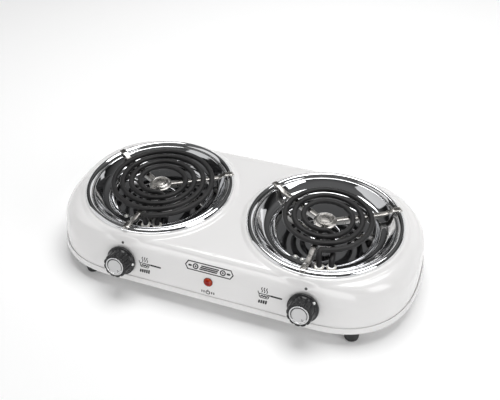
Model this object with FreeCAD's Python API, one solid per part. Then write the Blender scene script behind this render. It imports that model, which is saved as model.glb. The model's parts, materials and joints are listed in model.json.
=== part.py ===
import FreeCAD, Part
import math
import os

# Two-burner electric range, millimetres. +Z is up, -Y faces the cook, and the origin is at the bottom
# centre of the whole box. The body's own centre plane lies BODY_Y behind the origin, because the knobs
# stand proud at the front. Heights below count from a level FOOT_DROP above the table.

V = FreeCAD.Vector
UP = V(0, 0, 1)

# Body
BODY_Y = 8.1
FOOT_DROP = 2.0          # the feet reach this far below the level that heights count from
STEEL = 1.2              # enamelled sheet
FLOOR_Z = 15.0           # underside of the base pan
RIM_TOP_Z = 23.5         # top of the base pan's rim, the lower band of the body
SEAM_Z = 24.0            # where the housing's walls start to lean
DECK_Z = 76.0
WALL_SLOPE = 0.10        # front and back walls lean in by this much per unit of height at the seam
WALL_CURVE = 0.00407     # and lean in faster the higher they get
RIM_A, RIM_B = 245.9, 123.2          # half length and half width of the rim at the floor
RIM_IN = 1.6                         # the rim's walls lean in by this much over its height
SEAM_A, SEAM_B = 242.9, 120.4        # half length and half width of the housing at the seam
END_LEAN = 1.2           # how much the end walls lean in below their shoulder
FRONT_R = 8.0            # shoulder radius of the front and back
END_R = 26.0             # shoulder radius of the ends
STRAIGHT_X = 130.9       # the plan is straight up to here, and superelliptic beyond
PLAN_POWER = 2.42
END_STEPS = 20

# Burners
BURNER_X = 116.0
COLLAR_R = 105.0
COLLAR_Z = 79.0          # top of the collar, where the trim ring sits
MOUTH_R = 91.0
RING_R = 100.6
RING_CREST_R = 96.2
RING_TOP_Z = 83.5
PAN_WALL_R = 88.0
STEP_R = 72.0            # edge of the pan's well
STEP_Z = 69.0
WELL_R = 64.0
WELL_Z = 60.0
PAN_T = 0.8
PLATFORM_R = 45.0        # the terminal platform is a round bite out of the well
PLATFORM_AT_R = 105.0
PLATFORM_DEG = -97.0
SHIELD_Z = 50.0
SHIELD_R = 89.6

# Elements
TUBE_R = 3.5
TUBE_Z = 84.3            # centre line of the spiral
COOK_Z = 87.3            # flat top of the spiral
HALF_PITCH = 6.0         # the radius shrinks by this much each half turn
COIL_START_DEG = -80.0
COIL_EXTRA_DEG = 12.0
COIL_R = {"left": 70.5, "right": 58.5}
COIL_HALF_TURNS = {"left": 8, "right": 6}
LEAD_Z = 76.6
LEAD_END_Z = 54.0
LEAD_OUT_R = 72.0
LEG_DEG = (-90.0, 30.0, 150.0)
LEG_W = 7.0
LEG_T = 1.2
HUB_R = 15.0

# Front panel
KNOB_X = {"left": -117.0, "right": 124.0}
KNOB_Z = 44.0
LAMP_X, LAMP_Z = 2.0, 43.8
KNOB_R = 19.4
KNOB_GAP = 1.0           # clearance between a knob's skirt and the panel
GRIP_R = 16.4
GRIP_FRONT_R = 15.7
CAP_R = 12.2
KNOB_H = 19.2
FLUTES = 12
SHAFT_R = 3.0
BUSH_R = 4.5
FRAME_W = 25.0           # width of the control's frame behind the panel
RUN = 0.05               # radial running clearance of the shaft

# Feet, gland and screws
FOOT_X = (-174.0, 181.5)
FOOT_Y = 103.0
FOOT_R = 8.7             # radius at the table
FOOT_TOP_R = 10.4
GLAND_X, GLAND_Z = 118.0, 36.0
GLAND_BORE_R = 3.75
LUGS = ((-70.0, -1), (70.0, -1), (-70.0, 1), (70.0, 1), (-205.0, 0), (205.0, 0))

SIDES = {"left": -1.0, "right": 1.0}


def save(name, shape):
    """Writes one sub-part, moved from the body's frame to the object's frame."""
    moved = shape.copy()
    moved.translate(V(0, BODY_Y, FOOT_DROP))
    moved.exportStep("parts/" + name + ".step")
    BOX.add(moved.BoundBox)
    print(name, len(moved.Solids), moved.isValid(), round(moved.Volume / 1000.0, 2))


def disc(radius, low, high, x=0.0, y=0.0):
    return Part.makeCylinder(radius, high - low, V(x, y, low))


def tube(outer, inner, low, high, x=0.0, y=0.0):
    return disc(outer, low, high, x, y).cut(disc(inner, low - 1, high + 1, x, y))


def block(size_x, size_y, size_z, x, y, z):
    """A box centred at x, y with its underside at z."""
    return Part.makeBox(size_x, size_y, size_z, V(x - size_x / 2, y - size_y / 2, z))


def turned(points):
    """A solid of revolution about Z from (radius, height) corners; a tuple of three is an arc's middle."""
    edges = []
    start = V(points[0][0], 0, points[0][1])
    middle = None
    for corner in points[1:] + [points[0]]:
        here = V(corner[0], 0, corner[1])
        if len(corner) == 3:
            middle = here
            continue
        if middle is None:
            edges.append(Part.makeLine(start, here))
        else:
            edges.append(Part.Arc(start, middle, here).toShape())
        start = here
        middle = None
    face = Part.Face(Part.Wire(edges))
    return face.revolve(V(0, 0, 0), UP, 360)


def dome_middle(radius, low, high):
    """Middle point of the arc from the rim of a spherical dome to its pole."""
    height = high - low
    sphere_r = (radius ** 2 + height ** 2) / (2.0 * height)
    centre_z = high - sphere_r
    angle = (math.atan2(low - centre_z, radius) + math.pi / 2) / 2
    return sphere_r * math.cos(angle), centre_z + sphere_r * math.sin(angle), "arc"


def polar(radius, degrees):
    angle = math.radians(degrees)
    return radius * math.cos(angle), radius * math.sin(angle)


# ---------------------------------------------------------------- body

def outline(half_length, half_width, z):
    """The body's plan at one height: straight front and back, superelliptic ends."""
    ends = []
    for side in (1.0, -1.0):
        points = []
        for step in range(END_STEPS + 1):
            turn = math.pi * (step / END_STEPS - 0.5)
            out = abs(math.cos(turn)) ** (2.0 / PLAN_POWER)
            across = math.copysign(abs(math.sin(turn)) ** (2.0 / PLAN_POWER), turn)
            x = STRAIGHT_X + (half_length - STRAIGHT_X) * out
            points.append(V(side * x, side * half_width * across, z))
        curve = Part.BSplineCurve()
        curve.interpolate(Points=points, InitialTangent=V(side, 0, 0), FinalTangent=V(-side, 0, 0))
        ends.append(curve)
    right, left = ends
    back = Part.makeLine(right.EndPoint, left.StartPoint)
    front = Part.makeLine(left.EndPoint, right.StartPoint)
    return Part.Wire([right.toShape(), back, left.toShape(), front])


def prism(low, high, a_low, b_low, a_high=None, b_high=None):
    """A straight or tapering block with the body's plan."""
    top = outline(a_low if a_high is None else a_high, b_low if b_high is None else b_high, high)
    return Part.makeLoft([outline(a_low, b_low, low), top], True, True)


def wall_y(z):
    """Half width of the leaning, slightly bulging front or back wall at a height."""
    up = z - SEAM_Z
    return SEAM_B - WALL_SLOPE * up - WALL_CURVE * up ** 2


def lean(z):
    """Angle of the front or back wall from the vertical at a height, in radians."""
    return math.atan(WALL_SLOPE + 2 * WALL_CURVE * (z - SEAM_Z))


def shoulder_touch():
    """Height where the front shoulder's arc leaves the wall."""
    touch_z = DECK_Z - FRONT_R
    for _ in range(20):
        touch_z = DECK_Z - FRONT_R + FRONT_R * math.sin(lean(touch_z))
    return touch_z


def body_size(z):
    """Half length and half width of the housing at a height, shoulders included."""
    end_z = DECK_Z - END_R
    end_x = SEAM_A - END_LEAN - END_R
    if z <= SEAM_Z:
        return SEAM_A, SEAM_B
    if z <= end_z:
        half_length = SEAM_A - END_LEAN * (z - SEAM_Z) / (end_z - SEAM_Z)
    else:
        half_length = end_x + math.sqrt(max(0.0, END_R ** 2 - (z - end_z) ** 2))
    centre_z = DECK_Z - FRONT_R
    touch_z = shoulder_touch()
    centre_y = wall_y(touch_z) - FRONT_R * math.cos(lean(touch_z))
    if z <= touch_z:
        half_width = wall_y(z)
    else:
        half_width = centre_y + math.sqrt(max(0.0, FRONT_R ** 2 - (z - centre_z) ** 2))
    return half_length, half_width


def housing_levels():
    """Heights of the housing's sections, closer together round the shoulders."""
    levels = [FLOOR_Z + STEEL, SEAM_Z, 30.0, 36.0, 43.0, DECK_Z - END_R, 56.0, 62.0, 67.0]
    for degrees in (math.degrees(lean(shoulder_touch())), 36.0, 48.0, 60.0, 75.0, 90.0):
        levels.append(DECK_Z - FRONT_R + FRONT_R * math.sin(math.radians(degrees)))
    return levels


def top_housing():
    outer_wires = []
    inner_wires = [outline(SEAM_A - STEEL, SEAM_B - STEEL, FLOOR_Z - 5)]
    for z in housing_levels():
        half_length, half_width = body_size(z)
        outer_wires.append(outline(half_length, half_width, z))
        if z >= SEAM_Z:
            inner_wires.append(outline(half_length - STEEL, half_width - STEEL, z - STEEL))
    shell = Part.makeLoft(outer_wires, True, True).cut(Part.makeLoft(inner_wires, True, True))
    foot_z = 71.5
    for side in SIDES.values():
        x = side * BURNER_X
        shell = shell.cut(disc(COLLAR_R - 0.6, foot_z, DECK_Z + 5, x))
        shell = shell.fuse(collar(foot_z, x))
    for x, side in LUGS:
        shell = shell.fuse(lug(x, side))
    for x, side in LUGS:
        y, at_x = lug_centre(x, side)
        shell = shell.cut(disc(1.6, FLOOR_Z, 30, at_x, y))
    for x in KNOB_X.values():
        shell = shell.cut(on_panel(disc(BUSH_R + 0.2, -8, 8), x, KNOB_Z))
    shell = shell.cut(on_panel(disc(4.3, -8, 8), LAMP_X, LAMP_Z))
    shell = shell.cut(on_back(disc(6.4, -8, 8), GLAND_X, GLAND_Z))
    return shell.removeSplitter()


def collar(foot_z, x):
    """The raised white collar round an opening, with its turned-down lip."""
    r = COLLAR_R
    z = COLLAR_Z
    points = [(r, foot_z), (r, z - 1.6), (r - 0.45, z - 0.45, "arc"), (r - 1.6, z),
              (MOUTH_R + 1.0, z), (MOUTH_R + 0.3, z - 0.3, "arc"), (MOUTH_R, z - 1.0), (MOUTH_R, z - 6),
              (MOUTH_R + STEEL, z - 6), (MOUTH_R + STEEL, z - STEEL), (r - STEEL, z - STEEL),
              (r - STEEL, foot_z)]
    ring = turned(points)
    ring.translate(V(x, 0, 0))
    return ring


def lug_centre(x, side):
    """Screw centre of a lug: on the long walls, or on the ends where side is 0."""
    if side:
        return side * (SEAM_B - 10.0), x
    return 0.0, math.copysign(SEAM_A - 10.0, x)


def lug(x, side):
    """A tab inside the housing that takes a base screw."""
    y, at_x = lug_centre(x, side)
    if side:
        return block(16, 18.6, 2, at_x, side * (SEAM_B - 9.6), 20)
    return block(18.6, 16, 2, math.copysign(SEAM_A - 9.6, x), y, 20)


def on_panel(shape, x, z):
    """Turns a shape built along +Z so that +Z leaves the front panel at x, z."""
    shape.rotate(V(0, 0, 0), V(1, 0, 0), 90 - math.degrees(lean(z)))
    shape.translate(V(x, -wall_y(z), z))
    return shape


def on_back(shape, x, z):
    shape.rotate(V(0, 0, 0), V(1, 0, 0), math.degrees(lean(z)) - 90)
    shape.translate(V(x, wall_y(z), z))
    return shape


def base_pan():
    rim_h = RIM_TOP_Z - FLOOR_Z
    pan = prism(FLOOR_Z, RIM_TOP_Z, RIM_A, RIM_B, RIM_A - RIM_IN, RIM_B - RIM_IN)
    in_low = RIM_IN * STEEL / rim_h
    hollow = prism(FLOOR_Z + 1.0, RIM_TOP_Z - 0.9, RIM_A - STEEL - in_low, RIM_B - STEEL - in_low,
                   RIM_A - RIM_IN - STEEL, RIM_B - RIM_IN - STEEL)
    mouth = prism(FLOOR_Z + 1.0, RIM_TOP_Z + 1, SEAM_A + 0.2, SEAM_B + 0.2)
    pan = pan.cut(hollow).cut(mouth)
    for side in SIDES.values():
        for row in range(-4, 5):
            pan = pan.cut(vent_slot(side * BURNER_X, row * 14.0))
    for x, side in LUGS:
        y, at_x = lug_centre(x, side)
        pan = pan.cut(disc(2.0, FLOOR_Z - 1, FLOOR_Z + 3, at_x, y))
    for x, y in foot_places():
        pan = pan.cut(disc(2.2, FLOOR_Z - 1, FLOOR_Z + 3, x, y))
    return pan


def vent_slot(x, y):
    length = 60.0
    width = 5.0
    slot = block(length - width, width, 4, x, y, FLOOR_Z - 1)
    for end in (-1, 1):
        slot = slot.fuse(disc(width / 2, FLOOR_Z - 1, FLOOR_Z + 3, x + end * (length - width) / 2, y))
    return slot


def foot_places():
    return [(x, y * FOOT_Y) for y in (-1, 1) for x in FOOT_X]


def foot(x, y):
    low = -FOOT_DROP
    shape = turned([(0, low), (FOOT_R - 0.7, low), (FOOT_R - 0.2, low + 0.2, "arc"), (FOOT_R, low + 0.8),
                    (FOOT_TOP_R, FLOOR_Z), (0, FLOOR_Z)])
    shape.translate(V(x, y, 0))
    shape = shape.cut(disc(4.4, low - 1, 6, x, y))
    return shape.cut(disc(2.1, low - 1, FLOOR_Z + 1, x, y))


def screws(places, head_low, head_high, head_r, shank_r, shank_end):
    """A group of pan-head screws on vertical axes, heads down."""
    made = []
    for x, y in places:
        head = disc(head_r, head_low, head_high, x, y)
        shank = disc(shank_r, head_high - 0.2, shank_end, x, y)
        slot = block(head_r * 1.6, 0.9, 0.9, x, y, head_low - 0.1)
        made.append(head.fuse(shank).cut(slot))
    return Part.makeCompound(made)


def hexagon(across, low, high, hole_r):
    corners = []
    for step in range(7):
        x, y = polar(across / math.sqrt(3), 60.0 * step)
        corners.append(V(x, y, low))
    nut = Part.Face(Part.makePolygon(corners)).extrude(V(0, 0, high - low))
    return nut.cut(disc(hole_r, low - 1, high + 1))


def foot_nuts():
    made = []
    for x, y in foot_places():
        nut = hexagon(7.0, FLOOR_Z + 1.0, FLOOR_Z + 4.0, 2.02)
        nut.translate(V(x, y, 0))
        made.append(nut)
    return Part.makeCompound(made)


# ---------------------------------------------------------------- burners

def trim_ring(x):
    """Rolled chrome bead that sits on the collar and covers the pan's rim."""
    z = COLLAR_Z
    ring = turned([(RING_R, z), (RING_CREST_R + 3.2, z + 3.1, "arc"), (RING_CREST_R, RING_TOP_Z),
                   (RING_CREST_R - 3.4, RING_TOP_Z - 1.0, "arc"), (MOUTH_R + 0.2, z + 1.2),
                   (MOUTH_R + 1.0, z + 1.1), (RING_CREST_R - 3.0, RING_TOP_Z - 1.7, "arc"),
                   (RING_CREST_R, RING_TOP_Z - 0.8), (RING_CREST_R + 2.6, z + 2.6, "arc"),
                   (RING_R - 0.8, z)])
    ring.translate(V(x, 0, 0))
    return ring


def pan_space(grow):
    """The space inside the pan's bowl, or that space grown by the sheet's thickness."""
    g = grow
    bowl = turned([(0, WELL_Z - g), (WELL_R + g / 2, WELL_Z - g), (STEP_R - 1 + g, STEP_Z - 1.5, "arc"),
                   (STEP_R + g / 2, STEP_Z - g), (PAN_WALL_R - 4 + g, STEP_Z + 3 - g / 2, "arc"),
                   (PAN_WALL_R + g, COLLAR_Z - 2 + g / 4), (PAN_WALL_R + g, COLLAR_Z + 5),
                   (0, COLLAR_Z + 5)])
    x, y = polar(PLATFORM_AT_R, PLATFORM_DEG)
    return bowl.cut(disc(PLATFORM_R - g, WELL_Z - 10, STEP_Z - g, x, y))


def drip_pan(x):
    top_z = COLLAR_Z + PAN_T
    rim = turned([(PAN_WALL_R, COLLAR_Z - 2), (PAN_WALL_R, top_z - 0.3), (PAN_WALL_R + 0.3, top_z),
                  (RING_CREST_R - 1.5, top_z), (RING_CREST_R - 1.5, COLLAR_Z), (PAN_WALL_R + PAN_T, COLLAR_Z),
                  (PAN_WALL_R + PAN_T, COLLAR_Z - 2)])
    cap = disc(120, COLLAR_Z - 1.9, COLLAR_Z + 20)
    bowl = pan_space(PAN_T).cut(pan_space(0)).cut(cap)
    pan = bowl.fuse(rim)
    for at_x, at_y in lead_places():
        pan = pan.cut(disc(6.2, WELL_Z - 5, STEP_Z + 2, at_x, at_y))
    for at_x, at_y in pan_screw_places():
        pan = pan.cut(disc(1.8, WELL_Z - 5, STEP_Z + 8, at_x, at_y))
    pan = pan.removeSplitter()
    pan.translate(V(x, 0, 0))
    return pan


def lead_places():
    """Where an element's two cold ends go down, from the burner's centre."""
    outer = polar(LEAD_OUT_R, COIL_START_DEG)
    inner = polar(LEAD_OUT_R, COIL_START_DEG + COIL_EXTRA_DEG)
    return outer, inner


def pan_screw_places():
    return [polar(66.5, -98.5), polar(66.5, -107.0)]


def heat_shield(x):
    """Bright dish under the drip pan that keeps the heat off the base."""
    lip_z = COLLAR_Z - 6
    dish = turned([(0, SHIELD_Z), (SHIELD_R - 6, SHIELD_Z), (SHIELD_R - 1.8, SHIELD_Z + 1.8, "arc"),
                   (SHIELD_R, SHIELD_Z + 6), (SHIELD_R, lip_z - 0.8), (100.0, lip_z - 0.8), (100.0, lip_z),
                   (SHIELD_R - 0.8, lip_z), (SHIELD_R - 0.8, SHIELD_Z + 6),
                   (SHIELD_R - 2.4, SHIELD_Z + 2.4, "arc"), (SHIELD_R - 6, SHIELD_Z + 0.8),
                   (0, SHIELD_Z + 0.8)])
    for at_x, at_y in lead_places():
        dish = dish.cut(disc(5.2, SHIELD_Z - 5, SHIELD_Z + 3, at_x, at_y))
    dish.translate(V(x, 0, 0))
    return dish


def tube_section(centre, angle_deg, radius):
    """The element's round section with a flat top, upright in the radial plane at an angle."""
    ux, uy = polar(1.0, angle_deg)
    flat = COOK_Z - TUBE_Z
    half = math.sqrt(TUBE_R ** 2 - flat ** 2)
    mid = V(centre.x + ux * radius, centre.y + uy * radius, TUBE_Z)
    out = V(ux, uy, 0)
    left = mid - out * half + UP * flat
    right = mid + out * half + UP * flat
    arc = Part.Arc(left, mid - UP * TUBE_R, right).toShape()
    return Part.Face(Part.Wire([arc, Part.makeLine(right, left)]))


def spiral(side):
    """A flat spiral of half turns about two centres, and the two points where it ends."""
    radius = COIL_R[side]
    turns = COIL_HALF_TURNS[side]
    shapes = []
    centre = V(0, 0, 0)
    angle = COIL_START_DEG
    for turn in range(turns + 1):
        sweep = 180.0 if turn < turns else COIL_EXTRA_DEG
        piece = tube_section(centre, angle, radius).revolve(centre, UP, sweep)
        shapes.append(piece)
        if turn == turns:
            break
        angle += 180.0
        ax, ay = polar(1.0, angle)
        centre = centre + V(ax, ay, 0) * HALF_PITCH
        radius -= HALF_PITCH
    ux, uy = polar(1.0, COIL_START_DEG)
    outer_end = V(ux, uy, 0) * COIL_R[side] + UP * TUBE_Z
    ex, ey = polar(radius, angle + COIL_EXTRA_DEG)
    inner_end = V(centre.x + ex, centre.y + ey, TUBE_Z)
    made = shapes[0].multiFuse(shapes[1:])
    return made.removeSplitter(), outer_end, inner_end


def coil(side, x):
    """The element's heated spiral, which the pan stands on."""
    made, _, _ = spiral(side)
    made.translate(V(x, 0, 0))
    return made


def coil_leads(side, x):
    """The element's two cold ends, bent down at the front and through the drip pan."""
    hot, outer_end, inner_end = spiral(side)
    outer_place, inner_place = lead_places()
    outer = lead([outer_end, V(outer_place[0], outer_place[1], LEAD_Z + 4),
                  V(outer_place[0], outer_place[1], LEAD_END_Z)])
    inner = lead([inner_end, V(inner_end.x, inner_end.y, LEAD_Z), V(inner_place[0], inner_place[1], LEAD_Z),
                  V(inner_place[0], inner_place[1], LEAD_END_Z)])
    above = disc(120, COOK_Z, COOK_Z + 10)
    made = Part.makeCompound([outer.cut(hot).cut(above), inner.cut(hot).cut(above)])
    made.translate(V(x, 0, 0))
    return made


def lead(route):
    """Straight runs of the element's tube with ball corners."""
    lead_r = TUBE_R - 0.2
    shapes = []
    for here, after in zip(route[:-1], route[1:]):
        run = after - here
        shapes.append(Part.makeCylinder(lead_r, run.Length, here, run))
    for corner in route[:-1]:
        shapes.append(Part.makeSphere(lead_r, corner))
    return shapes[0].multiFuse(shapes[1:])


def leg(degrees):
    """One channel-section arm: it carries the spiral and hooks over the trim ring."""
    top = TUBE_Z - TUBE_R - 0.1
    high = [(6, top), (80, top), (86, RING_TOP_Z + 0.2), (90, RING_TOP_Z + 1.6), (98.2, RING_TOP_Z + 1.5),
            (101.6, RING_TOP_Z - 0.8)]
    low = [(100.9, RING_TOP_Z - 1.5), (98.2, RING_TOP_Z + 0.3), (92.5, RING_TOP_Z + 0.3),
           (88.5, COLLAR_Z + 1.5), (84, COLLAR_Z - 1.5), (70, top - 7.5), (6, top - 7.5)]
    corners = [V(r, -LEG_W / 2, z) for r, z in high + low]
    corners.append(corners[0])
    arm = Part.Face(Part.makePolygon(corners)).extrude(V(0, LEG_W, 0))
    inside = [V(r, LEG_T - LEG_W / 2, z) for r, z in
              [(0, top - LEG_T), (79.6, top - LEG_T), (86.5, RING_TOP_Z - 1.4), (86.5, top - 12), (0, top - 12)]]
    inside.append(inside[0])
    groove = Part.Face(Part.makePolygon(inside)).extrude(V(0, LEG_W - 2 * LEG_T, 0))
    arm = arm.cut(groove)
    arm.rotate(V(0, 0, 0), UP, degrees)
    return arm


def coil_support(x):
    """Three arms joined under a round medallion in the middle of the spiral."""
    top = TUBE_Z - TUBE_R - 0.1
    hub = disc(HUB_R, top - 1.2, top)
    dome = turned([(0, top - 1.2), (HUB_R - 2, top - 1.2), (HUB_R - 2, top + 2.2),
                   (HUB_R - 3.2, top + 3.6, "arc"), (HUB_R - 5, top + 4.2), (0, top + 4.6)])
    made = hub.multiFuse([dome] + [leg(degrees) for degrees in LEG_DEG])
    made.translate(V(x, 0, 0))
    return made


def insulators(x):
    """Ceramic bushes round the two cold ends, through the pan and the shield."""
    made = []
    for at_x, at_y in lead_places():
        bush = turned([(TUBE_R - 0.1, LEAD_END_Z - 6), (5.0, LEAD_END_Z - 6), (5.0, STEP_Z - 4),
                       (6.0, STEP_Z - 4), (6.0, STEP_Z + 1.2), (TUBE_R - 0.1, STEP_Z + 1.2)])
        bush.translate(V(x + at_x, at_y, 0))
        made.append(bush)
    return Part.makeCompound(made)


def terminals(x):
    """A push-on tab on each cold end."""
    made = []
    for at_x, at_y in lead_places():
        pin = disc(1.6, LEAD_END_Z - 8, LEAD_END_Z, x + at_x, at_y)
        tab = block(6.3, 0.8, 9, x + at_x, at_y, LEAD_END_Z - 16)
        made.append(pin.fuse(tab))
    return Part.makeCompound(made)


def pan_screws(x):
    made = []
    for at_x, at_y in pan_screw_places():
        head = turned([(0, STEP_Z), (3.0, STEP_Z), (3.0, STEP_Z + 0.6), dome_middle(3.0, STEP_Z + 0.6, STEP_Z + 2.1),
                       (0, STEP_Z + 2.1)])
        head = head.fuse(disc(1.6, STEP_Z - 7, STEP_Z + 0.5))
        head = head.cut(block(8, 0.8, 1, 0, 0, STEP_Z + 1.3))
        head.translate(V(x + at_x, at_y, 0))
        made.append(head)
    return Part.makeCompound(made)


# ---------------------------------------------------------------- controls

def thermostat_frame(x):
    """Threaded bush, front plate and two side arms of the control behind the panel."""
    back = -2.6
    bush = tube(BUSH_R, SHAFT_R + RUN, -14, 3.4)
    plate = block(FRAME_W, 22, 1.2, 0, 0, back - 1.2).cut(disc(BUSH_R - 0.1, -10, 5))
    arm_x = FRAME_W / 2 - 0.6
    arms = [block(1.2, 20, 26, arm_x * side, 0, back - 27) for side in (-1, 1)]
    bridge = block(FRAME_W, 8, 1.2, 0, 0, back - 27.2).cut(disc(SHAFT_R + RUN, -40, 0))
    return on_panel(bush.multiFuse([plate, bridge] + arms), x, KNOB_Z)


def thermostat_stack(x):
    """Ceramic blocks on one side of the control with the contact leaves between them."""
    blocks = [block(5, 16, 3.4, 8.6, 0, -26 + 5 * step) for step in range(4)]
    leaves = [block(6, 5, 1.6, 8.1, 5.5, -22.6 + 5 * step) for step in range(3)]
    rivet = disc(1.5, -27, -6, 8.6, -5)
    made = blocks[0].multiFuse(blocks[1:] + leaves + [rivet])
    return on_panel(made, x, KNOB_Z)


def thermostat_nut(x):
    return on_panel(hexagon(12.0, 0.0, 2.4, BUSH_R + 0.02), x, KNOB_Z)


def shaft(x):
    """Control shaft with a flat for the knob and a collar inside the frame."""
    made = disc(SHAFT_R, -30, 12.6).fuse(disc(5.0, -20, -17))
    made = made.cut(Part.makeBox(10, 10, 9, V(-5, 2.0, 4.4)))
    return on_panel(made, x, KNOB_Z)


def knob(x):
    """Fluted plastic knob: wide skirt, scalloped grip, hollow back with a D-shaped boss."""
    low = KNOB_GAP
    body = turned([(0, low), (KNOB_R - 0.5, low), (KNOB_R, low + 0.5), (KNOB_R, low + 2.9),
                   (KNOB_R - 1.0, low + 3.7), (GRIP_R + 0.6, low + 4.7), (GRIP_FRONT_R, KNOB_H - 0.8),
                   (GRIP_FRONT_R - 0.9, KNOB_H), (0, KNOB_H)])
    for flute in range(FLUTES):
        at_x, at_y = polar(GRIP_R + 0.9, 360.0 * (flute + 0.5) / FLUTES)
        body = body.cut(disc(2.3, 7.5, KNOB_H + 1, at_x, at_y))
    pocket = disc(13.0, 0, 5.0).fuse(disc(13.0, 4.5, 12.5).cut(disc(5.5, 4.5, 13)))
    bore = disc(SHAFT_R + 0.02, 0, 12.8).cut(Part.makeBox(10, 10, 9, V(-5, 2.02, 4.4)))
    body = body.cut(pocket).cut(bore).cut(disc(CAP_R + 0.1, KNOB_H - 1.6, KNOB_H + 1))
    return on_panel(body, x, KNOB_Z)


def knob_cap(x):
    """Satin metal disc set in the knob's front, with a raised rim and a groove."""
    low = KNOB_H - 1.6
    top = KNOB_H + 0.6
    cap = turned([(0, low), (CAP_R, low), (CAP_R, top - 0.3), (CAP_R - 0.3, top), (CAP_R - 1.6, top),
                  (CAP_R - 1.9, top - 0.6), (CAP_R - 2.8, top - 0.6), (CAP_R - 3.0, top - 0.3),
                  (0, top - 0.3)])
    return on_panel(cap, x, KNOB_Z)


def knob_clip(x):
    """Spring ring that squeezes the knob's boss on the shaft."""
    ring = tube(6.2, 5.52, 7.0, 11.0).cut(Part.makeBox(3, 10, 10, V(-1.5, -10, 4)))
    return on_panel(ring, x, KNOB_Z)


def lamp_lens():
    lens = turned([(2.9, -9), (4.2, -9), (4.2, 0), (5.6, 0), (5.6, 0.8), dome_middle(5.6, 0.8, 3.9), (0, 3.9),
                   (0, 0.5), (2.9, 0.5)])
    return on_panel(lens, LAMP_X, LAMP_Z)


def lamp_holder():
    """Push-on clip that holds the lens behind the panel, with the resistor's tube."""
    clip = tube(6.2, 4.22, -6.0, -1.9)
    tail = tube(4.6, 3.1, -13.0, -9.0).fuse(disc(4.6, -14, -13))
    bridge = block(1.4, 1.6, 8, 0, 4.9, -10).common(disc(6.2, -12, 0).cut(disc(4.22, -10, 0)))
    return on_panel(clip.multiFuse([tail, bridge, block(1.4, 2.0, 1, 0, 4.6, -10)]), LAMP_X, LAMP_Z)


def lamp_bulb():
    bulb = turned([(0, -11.5), (2.2, -11.5), (2.2, -2.4), dome_middle(2.2, -2.4, -0.4), (0, -0.4)])
    return on_panel(bulb, LAMP_X, LAMP_Z)


# ---------------------------------------------------------------- wiring and inlet

def cord_gland():
    gland = turned([(GLAND_BORE_R, -9), (6.2, -9), (6.2, 0), (9.0, 0), (9.0, 1.6), (8.2, 2.4, "arc"), (7.4, 2.8),
                    (GLAND_BORE_R, 2.8)])
    lock = tube(8.6, 6.1, -5.0, -2.0)
    return on_back(gland.fuse(lock), GLAND_X, GLAND_Z)


def terminal_block():
    body = block(34, 16, 14, 150, 78, FLOOR_Z + 1.0)
    for step in range(3):
        body = body.cut(disc(2.4, FLOOR_Z + 8, FLOOR_Z + 20, 139 + 11 * step, 78))
    return body


def thermal_cutoff(x):
    """Round safety cut-off clipped under the heat shield."""
    body = disc(8.0, SHIELD_Z - 9, SHIELD_Z - 1.5, x, 30).fuse(disc(6.5, SHIELD_Z - 1.6, SHIELD_Z, x, 30))
    tabs = [block(6.3, 0.8, 8, x + 12 * side, 30, SHIELD_Z - 12) for side in (-1, 1)]
    arms = [block(10, 6.3, 0.8, x + 8 * side, 30, SHIELD_Z - 6) for side in (-1, 1)]
    return body.multiFuse(tabs + arms)


def earth_screw():
    made = screws([(110.0, 84.0)], FLOOR_Z + 4.0, FLOOR_Z + 6.0, 4.0, 1.9, FLOOR_Z + 9)
    made = made.Solids[0].fuse(disc(1.9, FLOOR_Z + 1.0, FLOOR_Z + 4.2, 110, 84))
    return made


def wire(points, radius):
    """Insulated wire: straight runs with ball corners."""
    shapes = []
    for here, after in zip(points[:-1], points[1:]):
        run = after - here
        shapes.append(Part.makeCylinder(radius, run.Length, here, run))
    for corner in points[1:-1]:
        shapes.append(Part.makeSphere(radius, corner))
    return shapes[0].multiFuse(shapes[1:])


def supply_wires():
    low = FLOOR_Z + 4.0
    made = []
    for step in range(2):
        y = 64.0 - 8.0 * step
        made.append(wire([V(139 + 11 * step, 68.2, low + 3), V(139 + 11 * step, y, low), V(-96, y, low),
                          V(-96, -60 + 8 * step, low + 2)], 1.4))
    return Part.makeCompound(made)


def burner_wires(side):
    """Wires from each element's tabs towards the cut-off and the control."""
    low = SHIELD_Z - 20.0
    x = SIDES[side] * BURNER_X
    outer, inner = lead_places()
    made = [wire([V(x + outer[0], outer[1], SHIELD_Z - 13), V(x + outer[0] - 8, outer[1] + 14, low),
                  V(x - 14, 12, low), V(x - 12, 30, SHIELD_Z - 13)], 1.3),
            wire([V(x + inner[0], inner[1], SHIELD_Z - 13), V(x + inner[0] + 6, inner[1] + 16, low),
                  V(x + 14, 12, low), V(x + 12, 30, SHIELD_Z - 13)], 1.3)]
    return Part.makeCompound(made)


BOX = FreeCAD.BoundBox()
os.makedirs("parts", exist_ok=True)

save("top_housing", top_housing())
save("base_pan", base_pan())
for (x, y), name in zip(foot_places(), ("front_left", "front_right", "rear_left", "rear_right")):
    save("foot_" + name, foot(x, y))
save("foot_screws", screws(foot_places(), 3.6, 6.0, 4.0, 2.0, FLOOR_Z + 5))
save("foot_nuts", foot_nuts())
lug_places = [(lug_centre(x, side)[1], lug_centre(x, side)[0]) for x, side in LUGS]
save("base_screws", screws(lug_places, FLOOR_Z - 1.8, FLOOR_Z, 3.4, 1.55, FLOOR_Z + 9))

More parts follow.
